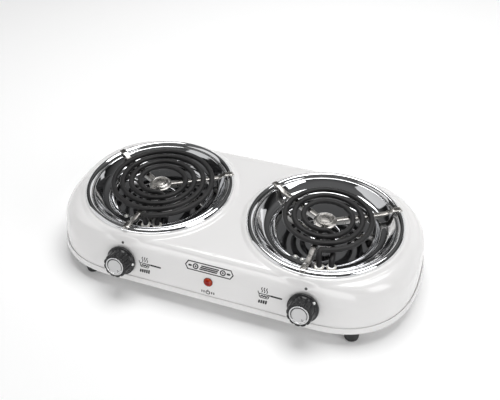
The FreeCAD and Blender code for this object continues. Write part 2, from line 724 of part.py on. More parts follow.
for side, sign in SIDES.items():
    x = sign * BURNER_X
    save("trim_ring_" + side, trim_ring(x))
    save("drip_pan_" + side, drip_pan(x))
    save("heat_shield_" + side, heat_shield(x))
    save("coil_" + side, coil(side, x))
    save("coil_leads_" + side, coil_leads(side, x))
    save("coil_support_" + side, coil_support(x))
    save("insulators_" + side, insulators(x))
    save("terminals_" + side, terminals(x))
    save("pan_screws_" + side, pan_screws(x))
    save("thermal_cutoff_" + side, thermal_cutoff(x))
    save("burner_wires_" + side, burner_wires(side))
    save("thermostat_frame_" + side, thermostat_frame(KNOB_X[side]))
    save("thermostat_stack_" + side, thermostat_stack(KNOB_X[side]))
    save("thermostat_nut_" + side, thermostat_nut(KNOB_X[side]))
    save("shaft_" + side, shaft(KNOB_X[side]))
    save("knob_" + side, knob(KNOB_X[side]))
    save("knob_cap_" + side, knob_cap(KNOB_X[side]))
    save("knob_clip_" + side, knob_clip(KNOB_X[side]))

save("lamp_lens", lamp_lens())
save("lamp_holder", lamp_holder())
save("lamp_bulb", lamp_bulb())
save("cord_gland", cord_gland())
save("terminal_block", terminal_block())
save("earth_screw", earth_screw())
save("supply_wires", supply_wires())
print("box", BOX)
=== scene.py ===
import json
import math

import bmesh
import bpy
import numpy as np
from mathutils import Matrix, Vector
from mathutils.bvhtree import BVHTree
from mathutils.geometry import delaunay_2d_cdt

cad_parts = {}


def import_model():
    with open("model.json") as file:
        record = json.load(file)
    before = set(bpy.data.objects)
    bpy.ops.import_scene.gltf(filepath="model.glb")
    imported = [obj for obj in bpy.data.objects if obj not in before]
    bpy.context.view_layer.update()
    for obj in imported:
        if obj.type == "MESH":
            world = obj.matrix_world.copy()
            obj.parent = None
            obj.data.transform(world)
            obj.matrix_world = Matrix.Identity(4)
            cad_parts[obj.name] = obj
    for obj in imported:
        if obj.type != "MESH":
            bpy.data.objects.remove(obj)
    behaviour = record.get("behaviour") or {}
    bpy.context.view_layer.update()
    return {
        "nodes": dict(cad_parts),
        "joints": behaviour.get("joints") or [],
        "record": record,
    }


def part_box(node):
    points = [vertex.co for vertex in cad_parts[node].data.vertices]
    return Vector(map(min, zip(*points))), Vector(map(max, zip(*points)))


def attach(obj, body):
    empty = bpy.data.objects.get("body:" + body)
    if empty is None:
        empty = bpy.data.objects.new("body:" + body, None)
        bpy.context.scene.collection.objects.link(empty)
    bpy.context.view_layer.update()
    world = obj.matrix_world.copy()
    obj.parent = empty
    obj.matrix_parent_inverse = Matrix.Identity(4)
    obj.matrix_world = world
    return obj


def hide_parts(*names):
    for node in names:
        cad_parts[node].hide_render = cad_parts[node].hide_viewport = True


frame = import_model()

# Lengths in capitals are millimetres in the body's frame: x to the right, -y to the cook, and z up from a
# level that is FOOT_DROP above the table. The origin is midway between the burners.
MM = 0.001
SIDES = ("left", "right")
JOINTS = {joint["child"]: joint for joint in frame["joints"]}


def box_mm(node):
    low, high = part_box(node)
    return np.array(low) / MM, np.array(high) / MM


ring_low, ring_high = box_mm("trim_ring_right")
shell_low, shell_high = box_mm("top_housing")
pan_low, pan_high = box_mm("base_pan")

FLOOR_Z = 15.0
FOOT_DROP = pan_low[2] - FLOOR_Z
BODY_Y = (ring_low[1] + ring_high[1]) / 2
BURNER_X = (ring_low[0] + ring_high[0]) / 2
RING_R = (ring_high[0] - ring_low[0]) / 2
RING_TOP_Z = ring_high[2] - FOOT_DROP
COLLAR_Z = ring_low[2] - FOOT_DROP
CENTRES = {"left": -BURNER_X, "right": BURNER_X}

# Body shell
DECK_Z = COLLAR_Z - 3.0
SEAM_A = shell_high[0]
SEAM_B = (shell_high[1] - shell_low[1]) / 2
SEAM_Z = 24.0
SHELL_LOW_Z = shell_low[2] - FOOT_DROP
STEEL = 1.2
WALL_SLOPE = 0.10
WALL_CURVE = 0.00407
END_LEAN = 1.2
FRONT_R = 8.0
END_R = 26.0
STRAIGHT_X = 130.9
PLAN_POWER = 2.42
MOUTH_R = 91.0
COLLAR_FLAT_R = 102.0
COLLAR_FOOT_R = 108.6
RIM_A = pan_high[0]
RIM_B = (pan_high[1] - pan_low[1]) / 2
RIM_TOP_Z = 23.5
RIM_IN = 1.6
FLANGE_W = 14.0
FLANGE_T = 1.0
PLATE_Z = FLOOR_Z + 0.4
PLATE_T = 1.0
PLATE_LAP = 1.5
VENT_ROWS = 9
VENT_PITCH = 14.0
VENT_L = 60.0
VENT_W = 5.0
FOOT_HOLE = 4.4
LUG_HOLE = 4.0
FOOT_X = {"left": -174.0, "right": 181.5}
FOOT_Y = {"front": -103.0, "rear": 103.0}
FOOT_R = 8.7
FOOT_TOP_R = 10.4
FOOT_BORE_R = 4.4
FOOT_BORE_Z = 6.0
LUG_X = 70.0
LUG_Y = 110.4

# Burners
PAN_WALL_R = 88.0
STEP_R = 72.0
STEP_Z = 69.0
WELL_R = 64.0
WELL_Z = 60.0
PAN_T = 0.64
PLATFORM_R = 45.0
PLATFORM_AT_R = 105.0
PLATFORM_DEG = -97.0
TUBE_R = 3.5
TUBE_Z = 84.3
COOK_Z = 87.3
HALF_PITCH = 6.0
COIL_START_DEG = -80.0
COIL_EXTRA_DEG = 12.0
COIL_R = {"left": 70.5, "right": 58.5}
COIL_HALF_TURNS = {"left": 8, "right": 6}
LEAD_Z = 76.6
LEAD_R = 72.0
LEAD_LOW_Z = STEP_Z - 3.0
ARM_TOP_Z = TUBE_Z - TUBE_R - 0.1
HOOK_Z = RING_TOP_Z + 1.35
ARM_STEEL = 0.9
LEG_DEG = (-90.0, 30.0, 150.0)

# Front panel
LAMP_X, LAMP_Z = 2.0, 43.8
GLAND_X, GLAND_Z = 118.0, 36.0
PAN_MARKS = {"left": (-78.3, 46.4, 5), "right": (81.3, 46.9, 4)}
EMBLEM_Z = 60.2
POWER_Z = 28.7
INDEX_Z = 66.6
KNOB_R = 19.4
KNOB_GAP = 1.0
KNOB_H = 19.2
GRIP_R = 16.4
CAP_R = 12.2
CAP_SEAT = KNOB_H - 1.5
CAP_FACE = KNOB_H + 0.3
DISC_R = CAP_R - 3.4
FLUTES = 12
FLUTE_DEPTH = 1.5
POINTER_DEG = {"left": 0.0, "right": 42.0}

# The viewpoint, in degrees, millimetres of lens and metres from the point midway between the trim rings
AZIMUTH, ELEVATION, ROLL = 21.28, 39.33, -1.35
LENS = 50.76
SENSOR = 36.0
CAMERA_AWAY = (0.272, -0.662, 0.590)


# ---------------------------------------------------------------- small geometry tools

def world(points):
    """Body-frame millimetres to the frame's metres."""
    moved = np.array(points, float).reshape(-1, 3)
    moved[:, 1] += BODY_Y
    moved[:, 2] += FOOT_DROP
    return moved * MM


def polar(radius, degrees):
    angle = math.radians(degrees)
    return np.array([radius * math.cos(angle), radius * math.sin(angle)])


def smooth_step(value):
    value = np.clip(value, 0.0, 1.0)
    return value * value * (3.0 - 2.0 * value)


def grid_faces(rows, columns, close_rows=False, close_columns=False):
    """Quads of a grid whose points are stored row by row."""
    row = np.arange(rows if close_rows else rows - 1)
    column = np.arange(columns if close_columns else columns - 1)
    row, column = [axis.ravel() for axis in np.meshgrid(row, column, indexing="ij")]
    start, beside = row * columns, (column + 1) % columns
    next_start = (row + 1) % rows * columns
    corners = [start + column, start + beside, next_start + beside, next_start + column]
    return np.stack(corners, axis=1).tolist()


def rounded(corners, steps=5, closed=False):
    """A polyline with arcs at its corners; each corner is (r, z) or (r, z, radius)."""
    count = len(corners)
    made = []
    for index, corner in enumerate(corners):
        here = np.array(corner[:2], float)
        radius = corner[2] if len(corner) > 2 else 0.0
        ends = not closed and index in (0, count - 1)
        if radius <= 0.0 or ends:
            made.append(here)
            continue
        back = np.array(corners[index - 1][:2], float) - here
        ahead = np.array(corners[(index + 1) % count][:2], float) - here
        back_length, ahead_length = np.linalg.norm(back), np.linalg.norm(ahead)
        back, ahead = back / back_length, ahead / ahead_length
        half = math.acos(np.clip(np.dot(back, ahead), -1.0, 1.0)) / 2
        reach = min(radius / math.tan(half), 0.49 * back_length, 0.49 * ahead_length)
        radius = reach * math.tan(half)
        middle = (back + ahead) / np.linalg.norm(back + ahead)
        centre = here + middle * radius / math.sin(half)
        first, last = here + back * reach - centre, here + ahead * reach - centre
        turn = math.acos(np.clip(np.dot(first, last) / radius ** 2, -1.0, 1.0))
        for step in range(steps + 1):
            share = step / steps
            weight_a = math.sin((1 - share) * turn) / math.sin(turn)
            weight_b = math.sin(share * turn) / math.sin(turn)
            made.append(centre + first * weight_a + last * weight_b)
    return np.array(made)


def ring_profile(corners, steps=3):
    """The closed outline of a turned piece that has a hole through it."""
    profile = rounded(corners, steps=steps)
    return np.concatenate([profile, profile[:1]])


def linked(name, data):
    """A new object in the scene."""
    made = bpy.data.objects.new(name, data)
    bpy.context.scene.collection.objects.link(made)
    return made


def piece(name, points, faces, body="base", slot=None, material=None, replaces=(), matrix=None,
          crease_deg=38.0, weld=True, recalc=True):
    """A finished mesh piece. With a matrix its points are that matrix's own millimetres."""
    mesh = bpy.data.meshes.new(name)
    scaled = world(points) if matrix is None else np.array(points, float) * MM
    mesh.from_pydata(scaled.tolist(), [], faces)
    work = bmesh.new()
    work.from_mesh(mesh)
    if weld:
        bmesh.ops.remove_doubles(work, verts=work.verts, dist=2e-6)
        bmesh.ops.dissolve_degenerate(work, edges=work.edges, dist=1e-7)
    if recalc:
        bmesh.ops.recalc_face_normals(work, faces=work.faces)
    work.to_mesh(mesh)
    work.free()
    mesh.polygons.foreach_set("use_smooth", [True] * len(mesh.polygons))
    mesh.set_sharp_from_angle(angle=math.radians(crease_deg))
    made = linked(name, mesh)
    if matrix is not None:
        made.matrix_world = matrix
    mesh.materials.append(material or MATERIALS[slot])
    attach(made, body)
    if replaces:
        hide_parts(*replaces)
    return made


def lathe(name, profile, steps=128, radius_of=None, **facts):
    """A turned piece about its matrix's Z axis; radius_of may change the radius round the turn."""
    profile = np.array(profile, float)
    angle = np.arange(steps) * 2 * math.pi / steps
    radius = np.repeat(profile[:, 0:1], steps, axis=1)
    height = np.repeat(profile[:, 1:2], steps, axis=1)
    if radius_of is not None:
        radius = radius_of(radius, height, angle[None, :])
    points = np.stack([radius * np.cos(angle), radius * np.sin(angle), height], axis=2)
    faces = grid_faces(len(profile), steps, close_columns=True)
    return piece(name, points.reshape(-1, 3), faces, **facts)


def at_place(x, y, z=0.0):
    return Matrix.Translation(world([(x, y, z)])[0])


def at_burner(side):
    return at_place(CENTRES[side], 0)


def wall_y(z):
    """Half width of the leaning, slightly bulging front and back walls."""
    return SEAM_B - WALL_SLOPE * (z - SEAM_Z) - WALL_CURVE * (z - SEAM_Z) ** 2


def lean(z):
    """Angle of those walls from the vertical."""
    return np.arctan(WALL_SLOPE + 2 * WALL_CURVE * (z - SEAM_Z))


def on_panel(x, z):
    """Matrix whose Z leaves the front panel at x, z, with X to the right and Y up the panel."""
    return at_place(x, -wall_y(z), z) @ Matrix.Rotation(math.pi / 2 - lean(z), 4, "X")


def on_back(x, z):
    """The same for the back wall."""
    return at_place(x, wall_y(z), z) @ Matrix.Rotation(lean(z) - math.pi / 2, 4, "X")


def on_knob(side):
    """Matrix at a knob's joint whose Z leaves the panel along the joint's axis."""
    joint = JOINTS["knob_" + side]
    out = -Vector(joint["axis"])
    right = Vector((1, 0, 0))
    up = out.cross(right)
    turn = Matrix((right, up, out)).transposed().to_4x4()
    return Matrix.Translation(Vector(joint["pos_m"])) @ turn


# ---------------------------------------------------------------- materials

def surface(name, colour, roughness, metallic=0.0, tint=0.05, spread=0.05, scale=30.0, bump=0.0,
            bump_scale=900.0, spun=False, edge_scuff_and_glint=None, edge_scuff_and_glint_at=(0.52, 0.60), **sockets):
    """A procedural finish: mottled colour and roughness, fine relief, and a colour on sharp edges if asked:
    worn edges on some finishes, painted highlight on others.
    """
    made = bpy.data.materials.new(name)
    made.use_nodes = True
    nodes, links = made.node_tree.nodes, made.node_tree.links
    shader = nodes["Principled BSDF"]
    shader.inputs["Metallic"].default_value = metallic
    for socket, value in sockets.items():
        shader.inputs[socket.replace("_", " ")].default_value = value
    place = nodes.new("ShaderNodeTexCoord").outputs["Object"]
    if spun:
        place = spun_place(nodes, links, place)
    blotch = nodes.new("ShaderNodeTexNoise")
    blotch.inputs["Scale"].default_value = scale
    blotch.inputs["Detail"].default_value = 4.0
    links.new(place, blotch.inputs["Vector"])
    mix = nodes.new("ShaderNodeMix")
    mix.data_type = "RGBA"
    links.new(blotch.outputs["Fac"], mix.inputs[0])
    mix.inputs[6].default_value = [c * (1 - tint) for c in colour] + [1]
    mix.inputs[7].default_value = [min(1.0, c * (1 + tint)) for c in colour] + [1]
    tone = mix.outputs[2]
    rough = map_range(nodes, links, blotch.outputs["Fac"], 0.3, 0.7, max(0.01, roughness - spread),
                      roughness + spread)
    # Sharp edges found by Pointiness take another colour: wear on the knobs and the coil element, painted
    # highlight on the lamp's facets and the coil supports.
    if edge_scuff_and_glint:
        edge = map_range(nodes, links, nodes.new("ShaderNodeNewGeometry").outputs["Pointiness"], *edge_scuff_and_glint_at)
        edge_scuff_and_glint_mix = nodes.new("ShaderNodeMix")
        edge_scuff_and_glint_mix.data_type = "RGBA"
        links.new(edge.outputs["Result"], edge_scuff_and_glint_mix.inputs[0])
        links.new(tone, edge_scuff_and_glint_mix.inputs[6])
        edge_scuff_and_glint_mix.inputs[7].default_value = list(edge_scuff_and_glint) + [1]
        tone = edge_scuff_and_glint_mix.outputs[2]
    links.new(tone, shader.inputs["Base Color"])
    links.new(rough.outputs["Result"], shader.inputs["Roughness"])
    if bump:
        grain = nodes.new("ShaderNodeTexNoise")
        grain.inputs["Scale"].default_value = bump_scale
        grain.inputs["Detail"].default_value = 3.0
        links.new(place, grain.inputs["Vector"])
        relief = nodes.new("ShaderNodeBump")
        relief.inputs["Strength"].default_value = 1.0
        relief.inputs["Distance"].default_value = bump * MM
        links.new(grain.outputs["Fac"], relief.inputs["Height"])
        links.new(relief.outputs["Normal"], shader.inputs["Normal"])
    return made


def map_range(nodes, links, value, low, high, to_low=0.0, to_high=1.0):
    """A node that maps the range low to high of a value onto another range."""
    made = nodes.new("ShaderNodeMapRange")
    limits = {"From Min": low, "From Max": high, "To Min": to_low, "To Max": to_high}
    for socket, limit in limits.items():
        made.inputs[socket].default_value = limit
    links.new(value, made.inputs["Value"])
    return made


def spun_place(nodes, links, place):
    """Coordinates that stretch round the object's Z axis, for turned and polished metal."""

    def node(kind, *values, operation=None):
        made = nodes.new("ShaderNode" + kind)
        if operation:
            made.operation = operation
        for value, socket in zip(values, made.inputs):
            if isinstance(value, float):
                socket.default_value = value
            else:
                links.new(value, socket)
        return made.outputs

    x, y, z = node("SeparateXYZ", place)
    flat = node("CombineXYZ", x, y)[0]
    square = node("VectorMath", flat, flat, operation="DOT_PRODUCT")["Value"]
    radius = node("Math", square, 0.5, operation="POWER")[0]
    turn = node("Math", y, x, operation="ARCTAN2")[0]
    slow_turn = node("Math", turn, 0.004, operation="MULTIPLY")[0]
    return node("CombineXYZ", radius, slow_turn, z)[0]


MATERIALS = {
    "white_enamel": surface("white_enamel", (0.76, 0.753, 0.750), 0.16, tint=0.012, spread=0.03, scale=9.0,
                            bump=0.012, bump_scale=260.0, Coat_Weight=0.35, Coat_Roughness=0.06),
    "rubber": surface("rubber", (0.018, 0.018, 0.019), 0.62, tint=0.25, spread=0.1, bump=0.05),
    "zinc": surface("zinc", (0.62, 0.62, 0.60), 0.34, 1.0, tint=0.1, spread=0.08, bump=0.02),
    "chrome": surface("chrome", (0.80, 0.805, 0.815), 0.035, 1.0, tint=0.015, spread=0.015, scale=900.0,
                      bump=0.0003, bump_scale=900.0, spun=True),
    "bright_pan": surface("bright_pan", (0.70, 0.705, 0.72), 0.05, 1.0, tint=0.03, spread=0.02,
                          scale=500.0, bump=0.0006, bump_scale=700.0, spun=True),
    "shield": surface("shield", (0.72, 0.73, 0.74), 0.35, 1.0, tint=0.05, spread=0.08, spun=True, scale=400),
    "element": surface("element", (0.014, 0.0135, 0.014), 0.50, 0.0, tint=0.45, spread=0.10, scale=45.0,
                       bump=0.03, bump_scale=1400.0, edge_scuff_and_glint=(0.045, 0.043, 0.04), edge_scuff_and_glint_at=(0.53, 0.62),
                       Specular_IOR_Level=0.3),
    # Its near-white edge colour paints highlights on the edges and tips of the arms and medallion.
    "support": surface("support", (0.40, 0.385, 0.365), 0.26, 1.0, tint=0.2, spread=0.08, scale=70.0,
                       bump=0.01, bump_scale=900.0, edge_scuff_and_glint=(0.8, 0.79, 0.77)),
    "ceramic": surface("ceramic", (0.80, 0.76, 0.68), 0.55, tint=0.06, spread=0.1, bump=0.05),
    "brass": surface("brass", (0.72, 0.55, 0.25), 0.32, 1.0, tint=0.12, spread=0.1, bump=0.01),
    "phenolic": surface("phenolic", (0.07, 0.05, 0.04), 0.5, tint=0.3, spread=0.1, bump=0.03),
    "wire": surface("wire", (0.70, 0.69, 0.64), 0.6, tint=0.1, spread=0.1, bump=0.08, bump_scale=2500.0),
    "knob_plastic": surface("knob_plastic", (0.014, 0.014, 0.015), 0.24, tint=0.25, spread=0.06, scale=60.0,
                            bump=0.012, bump_scale=1600.0, edge_scuff_and_glint=(0.05, 0.05, 0.052),
                            Specular_IOR_Level=0.38),
    "knob_metal": surface("knob_metal", (0.58, 0.58, 0.585), 0.22, 1.0, tint=0.10, spread=0.07,
                          scale=2500.0, bump=0.006, bump_scale=5000.0, spun=True),
    "knob_face": surface("knob_face", (0.52, 0.52, 0.525), 0.38, 0.85, tint=0.06, spread=0.06, scale=2500.0,
                         bump=0.006, bump_scale=5000.0, spun=True),
    "spring_steel": surface("spring_steel", (0.35, 0.36, 0.40), 0.3, 1.0, tint=0.1, bump=0.01),
    # The lens's orange edge colour is a painted highlight along its facet edges.
    "lamp_red": surface("lamp_red", (0.18, 0.003, 0.002), 0.05, tint=0.4, spread=0.02, scale=350.0,
                        bump=0.004, edge_scuff_and_glint=(0.6, 0.10, 0.02), edge_scuff_and_glint_at=(0.56, 0.68), Specular_IOR_Level=0.2,
                        Emission_Strength=0.06, Emission_Color=(0.9, 0.03, 0.005, 1)),
    "lamp_rim": surface("lamp_rim", (0.12, 0.007, 0.005), 0.25, tint=0.1, spread=0.05, scale=300.0),
    "bulb_glass": surface("bulb_glass", (0.95, 0.9, 0.85), 0.05, tint=0.02, spread=0.02,
                          Transmission_Weight=1.0),
    "black_nylon": surface("black_nylon", (0.02, 0.02, 0.02), 0.45, tint=0.2, bump=0.03),
    "print_black": surface("print_black", (0.012, 0.012, 0.013), 0.4, tint=0.2, spread=0.08, scale=300.0),
    "print_white": surface("print_white", (0.88, 0.88, 0.87), 0.45, tint=0.03, spread=0.05, scale=300.0),
}


# ---------------------------------------------------------------- housing and base

def body_size(z):
    """Half length and half width of the housing at a height."""
    end_z = DECK_Z - END_R
    end_x = SEAM_A - END_LEAN - END_R
    if z <= SEAM_Z:
        return SEAM_A, SEAM_B
    if z <= end_z:
        half_length = SEAM_A - END_LEAN * (z - SEAM_Z) / (end_z - SEAM_Z)
    else:
        half_length = end_x + math.sqrt(max(0.0, END_R ** 2 - (z - end_z) ** 2))
    centre_z = DECK_Z - FRONT_R
    centre_y = wall_y(TOUCH_Z) - FRONT_R * math.cos(lean(TOUCH_Z))
    if z <= TOUCH_Z:
        return half_length, wall_y(z)
    return half_length, centre_y + math.sqrt(max(0.0, FRONT_R ** 2 - (z - centre_z) ** 2))


def shoulder_touch():
    """Height where the front shoulder's arc leaves the wall."""
    touch_z = DECK_Z - FRONT_R
    for _ in range(20):
        touch_z = DECK_Z - FRONT_R + FRONT_R * math.sin(lean(touch_z))
    return touch_z


TOUCH_Z = shoulder_touch()


def reach_to_wall(cosine, sine, half_length, half_width):
    """Distance from the right burner's centre to the plan's outline along each direction."""
    near = np.zeros(np.broadcast(cosine, half_length).shape)
    past_any_wall = 400.0
    halvings = 48
    far = near + past_any_wall
    for _ in range(halvings):
        middle = (near + far) / 2
        past_straight = np.maximum(np.abs(BURNER_X + middle * cosine) - STRAIGHT_X, 0)
        along = past_straight / (half_length - STRAIGHT_X)
        across = np.abs(middle * sine) / half_width
        inside = along ** PLAN_POWER + across ** PLAN_POWER < 1.0
        near = np.where(inside, middle, near)
        far = np.where(inside, far, middle)
    return near


def housing():
    """The shell, half by half: a mouth's lip and collar as a ring of rays, then lines over the deck's edge.

    Gives back a search tree of its outer surface, for the marks printed on it.
    """
    rays = 264
    outside_points = 44
    touch = math.degrees(lean(TOUCH_Z))
    levels = [DECK_Z - FRONT_R + FRONT_R * math.sin(math.radians(d)) for d in np.linspace(90, touch, 22)]
    levels += [*np.linspace(levels[-1], SEAM_Z, 34)[1:], SEAM_Z - 2, SHELL_LOW_Z]
    levels = np.array(levels)
    sizes = np.array([body_size(z) for z in levels])
    angle = (np.arange(rays) + 0.5) * 2 * math.pi / rays - math.pi
    cosine, sine = np.cos(angle)[:, None], np.sin(angle)[:, None]
    reach = reach_to_wall(cosine, sine, sizes[None, :, 0], sizes[None, :, 1])

    lip = rounded([(MOUTH_R, COLLAR_Z - 6), (MOUTH_R, COLLAR_Z, 1.1), (MOUTH_R + 4, COLLAR_Z)], steps=4)
    flank_radii = np.linspace(COLLAR_FLAT_R, COLLAR_FOOT_R, 13)
    down_flank = (flank_radii - COLLAR_FLAT_R) / (COLLAR_FOOT_R - COLLAR_FLAT_R)
    weight = 0.5 + 0.5 * np.cos(math.pi * down_flank)
    clear_of_edge = 1.0
    collar, outside = [], []
    for edge, along, across in zip(reach, cosine[:, 0], sine[:, 0]):
        base = np.interp(flank_radii, edge, levels)
        line = np.concatenate([lip, np.stack([flank_radii, base + (COLLAR_Z - base) * weight], axis=1)])
        collar.append(np.stack([BURNER_X + line[:, 0] * along, line[:, 0] * across, line[:, 1]], axis=1))
        on_deck = edge[0] > COLLAR_FOOT_R + clear_of_edge
        outside.append(spaced(outside_line(collar[-1][-1], levels, sizes, on_deck), outside_points))
    collar, outside = np.array(collar), np.array(outside)
    outside[:, 0] = collar[:, -1]
    foot = collar.shape[0] * collar.shape[1]
    faces = grid_faces(rays, collar.shape[1], close_rows=True)
    faces += [[corner + foot for corner in face] for face in grid_faces(rays, outside_points)]
    right = np.concatenate([collar.reshape(-1, 3), outside.reshape(-1, 3)])
    count = len(right)
    faces += [[corner + count for corner in reversed(face)] for face in faces]
    front, back = foot, count - outside_points
    for start in (front, back):
        for here in range(start, start + outside_points - 1):
            faces.append([here, here + 1, here + 1 + count, here + count])
    faces.append([front, back, back + count, front + count])
    points = np.concatenate([right, right * np.array([-1, 1, 1])])
    made = piece("housing_shell", points, faces, slot="white_enamel", replaces=["top_housing"], crease_deg=50)
    tree = BVHTree.FromPolygons([vert.co for vert in made.data.vertices],
                                [face.vertices for face in made.data.polygons])
    thicken(made, STEEL)
    return tree


def outside_line(start, levels, sizes, on_deck):
    """The shell's line from a point on the collar's foot, over the deck's edge and down to the seam."""
    x, y, z = start
    least_drop = 0.1
    below = (levels < z - least_drop) | on_deck
    half_length, half_width = sizes[below].T
    share = max(0.0, x - STRAIGHT_X) / (body_size(z)[0] - STRAIGHT_X)
    along = np.where(share > 0, STRAIGHT_X + (half_length - STRAIGHT_X) * share, x)
    across = math.copysign(1.0, y) * half_width * (1 - share ** PLAN_POWER) ** (1 / PLAN_POWER)
    return np.concatenate([[start], np.stack([along, across, levels[below]], axis=1)])


def spaced(line, count, corner_mm=22.0):
    """Resamples a line; a radian of bend gets as many points as corner_mm of straight line."""
    length = np.linalg.norm(np.diff(line, axis=0), axis=1)
    line = line[np.concatenate([[True], length > 1e-7])]
    step = np.diff(line, axis=0)
    length = np.linalg.norm(step, axis=1)
    heading = step / length[:, None]
    turn = np.arccos(np.clip(np.sum(heading[1:] * heading[:-1], axis=1), -1.0, 1.0))
    bend = np.concatenate([[0.0], turn]) + np.concatenate([turn, [0.0]])
    travel = np.concatenate([[0.0], np.cumsum(length + corner_mm * bend / 2)])
    wanted = np.linspace(0, travel[-1], count)
    return np.stack([np.interp(wanted, travel, column) for column in line.T], axis=1)


def plan_loop(half_length, half_width, z):
    """Points round the body's plan at one height."""
    end_steps, side_steps = 72, 10
    reach = half_length - STRAIGHT_X
    points = []
    for side in (1.0, -1.0):
        for step in range(end_steps + 1):
            turn = math.pi * (step / end_steps - 0.5)
            out = abs(math.cos(turn)) ** (2.0 / PLAN_POWER)
            across = math.copysign(abs(math.sin(turn)) ** (2.0 / PLAN_POWER), turn)
            points.append((side * (STRAIGHT_X + reach * out), side * half_width * across, z))
        for step in range(1, side_steps):
            share = step / side_steps
            points.append((side * STRAIGHT_X * (1 - 2 * share), side * half_width, z))
    return points


def base_rim():
    """The lower band: the base pan's rolled rim, with the dark joint between it and the shell."""
    joint = RIM_A - SEAM_A - 0.35
    roll = RIM_TOP_Z - 1.4
    profile = rounded([(joint, roll), (joint, RIM_TOP_Z, 0.35), (RIM_IN, RIM_TOP_Z, 0.8), (0.0, FLOOR_Z, 1.1),
                       (FLANGE_W, FLOOR_Z), (FLANGE_W, FLOOR_Z + FLANGE_T), (1.7, FLOOR_Z + FLANGE_T, 0.6),
                       (RIM_IN + STEEL, roll)], closed=True)
    rows = np.array([plan_loop(RIM_A - offset, RIM_B - offset, z) for offset, z in profile])
    faces = grid_faces(rows.shape[0], rows.shape[1], close_rows=True, close_columns=True)
    piece("base_rim", rows.reshape(-1, 3), faces, slot="white_enamel", replaces=["base_pan"])


def base_floor():
    """The base pan's pressed floor with its vent slots, foot holes and screw holes."""
    inset = FLANGE_W - PLATE_LAP
    loops = [plan_loop(RIM_A - inset, RIM_B - inset, PLATE_Z)]
    for centre in CENTRES.values():
        for row in range(VENT_ROWS):
            loops.append(slot_loop(centre, (row - VENT_ROWS // 2) * VENT_PITCH, VENT_L, VENT_W))
    for x in FOOT_X.values():
        for y in FOOT_Y.values():
            loops.append(slot_loop(x, y, FOOT_HOLE, FOOT_HOLE))
    for y in (-LUG_Y, LUG_Y):
        for x in (-LUG_X, LUG_X):
            loops.append(slot_loop(x, y, LUG_HOLE, LUG_HOLE))
    flat, edges, owner = [], [], []
    for number, loop in enumerate(loops):
        start, count = len(flat), len(loop)
        flat += [Vector(point[:2]) for point in loop]
        edges += [(start + step, start + (step + 1) % count) for step in range(count)]
        owner += [number] * count
    corners, _, triangles, sources = delaunay_2d_cdt(flat, edges, [], 1, 1e-4)[:4]
    corner_owner = [owner[source[0]] if source else 0 for source in sources]
    faces = []
    for triangle in triangles:
        touched = {corner_owner[corner] for corner in triangle}
        in_a_hole = len(touched) == 1 and touched != {0}
        if not in_a_hole:
            faces.append(list(reversed(triangle)))
    points = [(x, y, PLATE_Z) for x, y in corners]
    made = piece("base_floor", points, faces, slot="white_enamel", recalc=False)
    thicken(made, PLATE_T)


def thicken(made, sheet):
    """Gives an outer surface the thickness of its sheet, inwards."""
    thick = made.modifiers.new("sheet", "SOLIDIFY")
    thick.thickness = sheet * MM
    thick.offset = -1


def slot_loop(x, y, length, width):
    """Points round a slot, or round a hole where its length is its width."""
    steps = 6
    points = []
    for end in (1, -1):
        for step in range(steps + 1):
            turn = math.pi * (step / steps - 0.5)
            points.append((x + end * ((length - width) / 2 + width / 2 * math.cos(turn)),
                           y + end * width / 2 * math.sin(turn), PLATE_Z))
    if length == width:
        points = points[:-1]
    return points


def feet():
    """Tapered pads, hollow at the bottom round their screws."""
    low = -FOOT_DROP
    profile = rounded([(0, FOOT_BORE_Z), (FOOT_BORE_R, FOOT_BORE_Z), (FOOT_BORE_R, low, 0.4),
                       (FOOT_R, low, 1.6), (FOOT_TOP_R - 0.05, FLOOR_Z - 0.6, 0.6),
                       (FOOT_TOP_R - 0.6, FLOOR_Z)])
    for left_right, x in FOOT_X.items():
        for front_rear, y in FOOT_Y.items():
            place = front_rear + "_" + left_right
            lathe("foot_pad_" + place, profile, 72, slot="rubber", replaces=["foot_" + place],
                  matrix=at_place(x, y))


# ---------------------------------------------------------------- burners

def trim_ring(side):
    """Polished ring of thin sheet that rolls over the collar and into the mouth."""
    z = COLLAR_Z
    outer = [(RING_R - 0.1, z), (RING_R, z + 0.5), (RING_R - 0.35, z + 1.9), (RING_R - 1.3, z + 3.2),
             (RING_R - 2.7, z + 4.1), (RING_R - 4.3, RING_TOP_Z), (RING_R - 6.0, RING_TOP_Z - 0.25),
             (RING_R - 7.7, z + 3.1), (RING_R - 8.9, z + 1.9), (RING_R - 9.3, z + 1.2)]
    inner = [(RING_R - 8.6, z + 1.0), (RING_R - 7.2, z + 2.3), (RING_R - 4.4, RING_TOP_Z - 0.9),
             (RING_R - 2.1, z + 2.6), (RING_R - 1.0, z)]
    profile = curve_through(outer, 6) + curve_through(inner, 3)
    profile.append(profile[0])
    lathe("trim_ring_polished_" + side, profile, 288, slot="chrome", replaces=["trim_ring_" + side],
          matrix=at_burner(side))


def curve_through(points, steps):
    """A smooth line through the points."""
    points = np.array(points, float)
    padded = np.concatenate([[2 * points[0] - points[1]], points, [2 * points[-1] - points[-2]]])
    made = []
    for a, b, c, d in zip(padded[:-3], padded[1:-2], padded[2:-1], padded[3:]):
        for step in range(steps):
            t = step / steps
            made.append(0.5 * (2 * b + (c - a) * t + (2 * a - 5 * b + 4 * c - d) * t * t
                               + (3 * b - a - 3 * c + d) * t ** 3))
    made.append(points[-1])
    return [tuple(point) for point in made]


